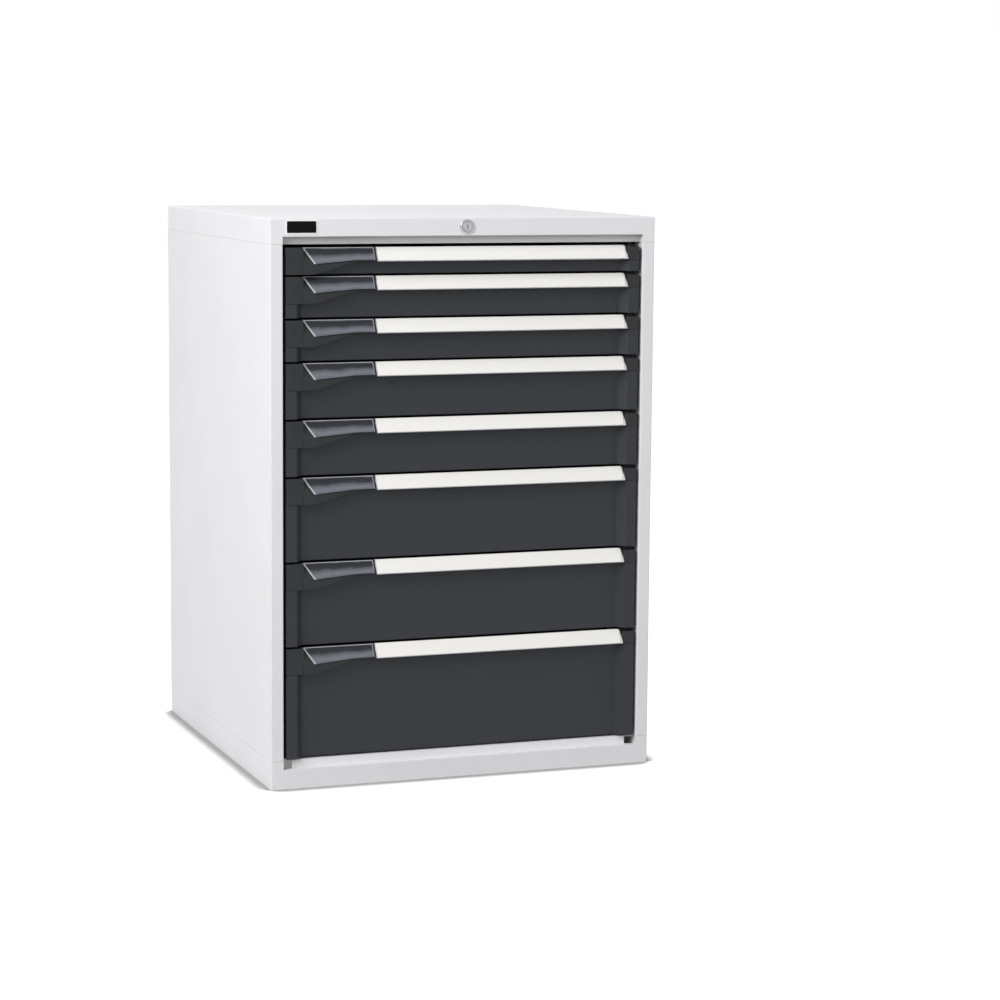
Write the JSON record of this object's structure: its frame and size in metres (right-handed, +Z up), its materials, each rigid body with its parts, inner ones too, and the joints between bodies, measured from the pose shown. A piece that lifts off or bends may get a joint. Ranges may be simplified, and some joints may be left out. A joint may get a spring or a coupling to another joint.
{
  "type": "multi-drawer tool cabinet",
  "caption": "Floor-standing steel drawer cabinet with full-extension drawers, label-strip handles with thumb catches and a central cylinder lock.",
  "frame": {"origin": "on the floor, below the centre of the bounding box with the drawers shut", "axes": "+X to the right seen from the front, +Y into the cabinet so that the drawers open towards -Y, +Z up"},
  "size_m": [0.717, 0.725, 1],
  "materials": {
    "housing_steel": "light grey fine-texture powder coat",
    "drawer_steel": "anthracite fine-texture powder coat",
    "zinc_steel": "zinc-plated rolled steel",
    "handle_aluminium": "extruded aluminium, silver anodised",
    "label_plastic": "white card under a clear satin cover",
    "cap_plastic": "anthracite moulded ABS, fine grain",
    "catch_plastic": "smoked glossy moulding",
    "lock_chrome": "polished nickel-chrome",
    "plate_plastic": "black gloss plate with a white rim"
  },
  "bodies": {
    "housing": {"base": "housing_steel", "side_panel_left": "housing_steel", "side_panel_right": "housing_steel", "rear_panel": "housing_steel", "top_panel": "housing_steel", "flange_bolts": "zinc_steel", "runner_uprights": "zinc_steel", "cabinet_runners": "zinc_steel", "lock_housing": "lock_chrome", "name_plate": "plate_plastic"},
    "lock_core": {"lock_plug": "lock_chrome"},
    "locking_bar": {"lock_bar": "zinc_steel"},
    "drawer_1": {"drawer_1_tray": "drawer_steel", "drawer_1_handle": "handle_aluminium", "drawer_1_label": "label_plastic", "drawer_1_end_caps": "cap_plastic"},
    "drawer_1_catch_lever": {"drawer_1_catch": "catch_plastic"},
    "drawer_1_middle_members": {"drawer_1_slides": "zinc_steel"},
    "drawer_2": {"drawer_2_tray": "drawer_steel", "drawer_2_handle": "handle_aluminium", "drawer_2_label": "label_plastic", "drawer_2_end_caps": "cap_plastic"},
    "drawer_2_catch_lever": {"drawer_2_catch": "catch_plastic"},
    "drawer_2_middle_members": {"drawer_2_slides": "zinc_steel"},
    "drawer_3": {"drawer_3_tray": "drawer_steel", "drawer_3_handle": "handle_aluminium", "drawer_3_label": "label_plastic", "drawer_3_end_caps": "cap_plastic"},
    "drawer_3_catch_lever": {"drawer_3_catch": "catch_plastic"},
    "drawer_3_middle_members": {"drawer_3_slides": "zinc_steel"},
    "drawer_4": {"drawer_4_tray": "drawer_steel", "drawer_4_handle": "handle_aluminium", "drawer_4_label": "label_plastic", "drawer_4_end_caps": "cap_plastic"},
    "drawer_4_catch_lever": {"drawer_4_catch": "catch_plastic"},
    "drawer_4_middle_members": {"drawer_4_slides": "zinc_steel"},
    "drawer_5": {"drawer_5_tray": "drawer_steel", "drawer_5_handle": "handle_aluminium", "drawer_5_label": "label_plastic", "drawer_5_end_caps": "cap_plastic"},
    "drawer_5_catch_lever": {"drawer_5_catch": "catch_plastic"},
    "drawer_5_middle_members": {"drawer_5_slides": "zinc_steel"},
    "drawer_6": {"drawer_6_tray": "drawer_steel", "drawer_6_handle": "handle_aluminium", "drawer_6_label": "label_plastic", "drawer_6_end_caps": "cap_plastic"},
    "drawer_6_catch_lever": {"drawer_6_catch": "catch_plastic"},
    "drawer_6_middle_members": {"drawer_6_slides": "zinc_steel"},
    "drawer_7": {"drawer_7_tray": "drawer_steel", "drawer_7_handle": "handle_aluminium", "drawer_7_label": "label_plastic", "drawer_7_end_caps": "cap_plastic"},
    "drawer_7_catch_lever": {"drawer_7_catch": "catch_plastic"},
    "drawer_7_middle_members": {"drawer_7_slides": "zinc_steel"},
    "drawer_8": {"drawer_8_tray": "drawer_steel", "drawer_8_handle": "handle_aluminium", "drawer_8_label": "label_plastic", "drawer_8_end_caps": "cap_plastic"},
    "drawer_8_catch_lever": {"drawer_8_catch": "catch_plastic"},
    "drawer_8_middle_members": {"drawer_8_slides": "zinc_steel"}
  },
  "joints": [
    {"name": "lock_turn", "type": "hinge", "parent": "housing", "child": "lock_core", "pos_m": [0, -0.3585, 0.9845], "axis": [0, 1, 0], "range_deg": [0, 90]},
    {"name": "locking_bar_lift", "type": "slide", "parent": "housing", "child": "locking_bar", "axis": [0, 0, 1], "range_m": [0, 0.012]},
    {"name": "drawer_1_pull", "type": "slide", "parent": "housing", "child": "drawer_1", "axis": [0, -1, 0], "range_m": [0, 0.612]},
    {"name": "drawer_1_member_slide", "type": "slide", "parent": "housing", "child": "drawer_1_middle_members", "axis": [0, -1, 0], "range_m": [0, 0.306]},
    {"name": "drawer_1_catch_swing", "type": "hinge", "parent": "drawer_1", "child": "drawer_1_catch_lever", "pos_m": [-0.2336, -0.34699, 0.94781], "axis": [-1, 0, 0], "range_deg": [0, 12], "stiffness_Nm_per_rad": 0.3},
    {"name": "drawer_2_pull", "type": "slide", "parent": "housing", "child": "drawer_2", "axis": [0, -1, 0], "range_m": [0, 0.612]},
    {"name": "drawer_2_member_slide", "type": "slide", "parent": "housing", "child": "drawer_2_middle_members", "axis": [0, -1, 0], "range_m": [0, 0.306]},
    {"name": "drawer_2_catch_swing", "type": "hinge", "parent": "drawer_2", "child": "drawer_2_catch_lever", "pos_m": [-0.2336, -0.34699, 0.89781], "axis": [-1, 0, 0], "range_deg": [0, 12], "stiffness_Nm_per_rad": 0.3},
    {"name": "drawer_3_pull", "type": "slide", "parent": "housing", "child": "drawer_3", "axis": [0, -1, 0], "range_m": [0, 0.612]},
    {"name": "drawer_3_member_slide", "type": "slide", "parent": "housing", "child": "drawer_3_middle_members", "axis": [0, -1, 0], "range_m": [0, 0.306]},
    {"name": "drawer_3_catch_swing", "type": "hinge", "parent": "drawer_3", "child": "drawer_3_catch_lever", "pos_m": [-0.2336, -0.34699, 0.82281], "axis": [-1, 0, 0], "range_deg": [0, 12], "stiffness_Nm_per_rad": 0.3},
    {"name": "drawer_4_pull", "type": "slide", "parent": "housing", "child": "drawer_4", "axis": [0, -1, 0], "range_m": [0, 0.612]},
    {"name": "drawer_4_member_slide", "type": "slide", "parent": "housing", "child": "drawer_4_middle_members", "axis": [0, -1, 0], "range_m": [0, 0.306]},
    {"name": "drawer_4_catch_swing", "type": "hinge", "parent": "drawer_4", "child": "drawer_4_catch_lever", "pos_m": [-0.2336, -0.34699, 0.74781], "axis": [-1, 0, 0], "range_deg": [0, 12], "stiffness_Nm_per_rad": 0.3},
    {"name": "drawer_5_pull", "type": "slide", "parent": "housing", "child": "drawer_5", "axis": [0, -1, 0], "range_m": [0, 0.612]},
    {"name": "drawer_5_member_slide", "type": "slide", "parent": "housing", "child": "drawer_5_middle_members", "axis": [0, -1, 0], "range_m": [0, 0.306]},
    {"name": "drawer_5_catch_swing", "type": "hinge", "parent": "drawer_5", "child": "drawer_5_catch_lever", "pos_m": [-0.2336, -0.34699, 0.64781], "axis": [-1, 0, 0], "range_deg": [0, 12], "stiffness_Nm_per_rad": 0.3},
    {"name": "drawer_6_pull", "type": "slide", "parent": "housing", "child": "drawer_6", "axis": [0, -1, 0], "range_m": [0, 0.612]},
    {"name": "drawer_6_member_slide", "type": "slide", "parent": "housing", "child": "drawer_6_middle_members", "axis": [0, -1, 0], "range_m": [0, 0.306]},
    {"name": "drawer_6_catch_swing", "type": "hinge", "parent": "drawer_6", "child": "drawer_6_catch_lever", "pos_m": [-0.2336, -0.34699, 0.54781], "axis": [-1, 0, 0], "range_deg": [0, 12], "stiffness_Nm_per_rad": 0.3},
    {"name": "drawer_7_pull", "type": "slide", "parent": "housing", "child": "drawer_7", "axis": [0, -1, 0], "range_m": [0, 0.612]},
    {"name": "drawer_7_member_slide", "type": "slide", "parent": "housing", "child": "drawer_7_middle_members", "axis": [0, -1, 0], "range_m": [0, 0.306]},
    {"name": "drawer_7_catch_swing", "type": "hinge", "parent": "drawer_7", "child": "drawer_7_catch_lever", "pos_m": [-0.2336, -0.34699, 0.39781], "axis": [-1, 0, 0], "range_deg": [0, 12], "stiffness_Nm_per_rad": 0.3},
    {"name": "drawer_8_pull", "type": "slide", "parent": "housing", "child": "drawer_8", "axis": [0, -1, 0], "range_m": [0, 0.612]},
    {"name": "drawer_8_member_slide", "type": "slide", "parent": "housing", "child": "drawer_8_middle_members", "axis": [0, -1, 0], "range_m": [0, 0.306]},
    {"name": "drawer_8_catch_swing", "type": "hinge", "parent": "drawer_8", "child": "drawer_8_catch_lever", "pos_m": [-0.2336, -0.34699, 0.24781], "axis": [-1, 0, 0], "range_deg": [0, 12], "stiffness_Nm_per_rad": 0.3}
  ],
  "couplings": [
    {"joint": "lock_turn", "follows": "locking_bar_lift", "rad_per_m": 130.89},
    {"joint": "drawer_1_member_slide", "follows": "drawer_1_pull", "ratio": 0.5},
    {"joint": "drawer_2_member_slide", "follows": "drawer_2_pull", "ratio": 0.5},
    {"joint": "drawer_3_member_slide", "follows": "drawer_3_pull", "ratio": 0.5},
    {"joint": "drawer_4_member_slide", "follows": "drawer_4_pull", "ratio": 0.5},
    {"joint": "drawer_5_member_slide", "follows": "drawer_5_pull", "ratio": 0.5},
    {"joint": "drawer_6_member_slide", "follows": "drawer_6_pull", "ratio": 0.5},
    {"joint": "drawer_7_member_slide", "follows": "drawer_7_pull", "ratio": 0.5},
    {"joint": "drawer_8_member_slide", "follows": "drawer_8_pull", "ratio": 0.5}
  ]
}
